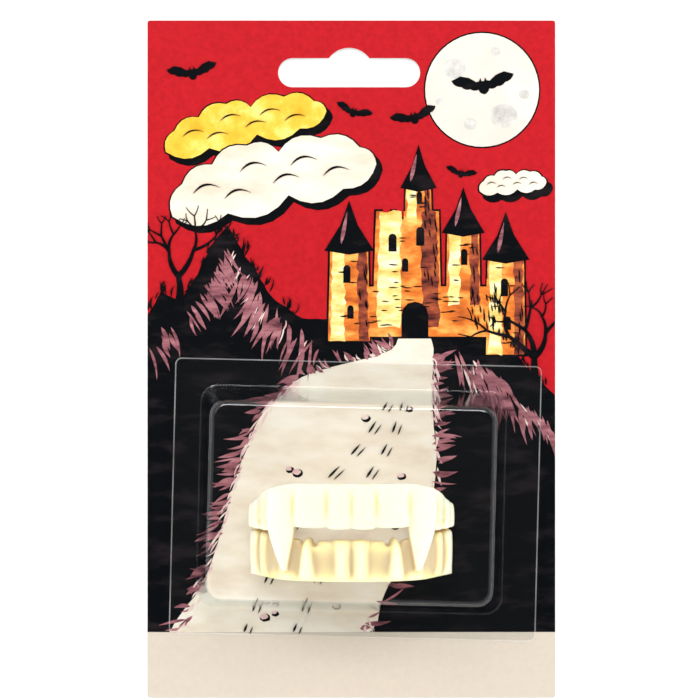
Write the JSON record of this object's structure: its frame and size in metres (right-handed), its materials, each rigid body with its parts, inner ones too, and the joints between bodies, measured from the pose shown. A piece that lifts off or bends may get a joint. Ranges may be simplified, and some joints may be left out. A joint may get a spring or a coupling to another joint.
{
  "type": "vampire fang denture on a blister card",
  "caption": "Toy denture with long fangs, its upper and lower toothed trays joined by living hinges, in a clear blister on a printed card with a hang slot.",
  "frame": {"origin": "centre of the card's back, on the surface that the card lies on", "axes": "+Z out of the card's printed face, +Y towards the hang slot, +X to the right of the printed face"},
  "size_m": [0.091, 0.1512, 0.0343],
  "materials": {
    "card": "satin printed paperboard, grey-white at the back and at its cut edges",
    "denture": "ivory soft plastic, slightly translucent, yellower in the grooves",
    "blister": "clear vacuum-formed film"
  },
  "bodies": {
    "root": {"card": "card", "denture": "denture", "blister": "blister"}
  },
  "joints": []
}
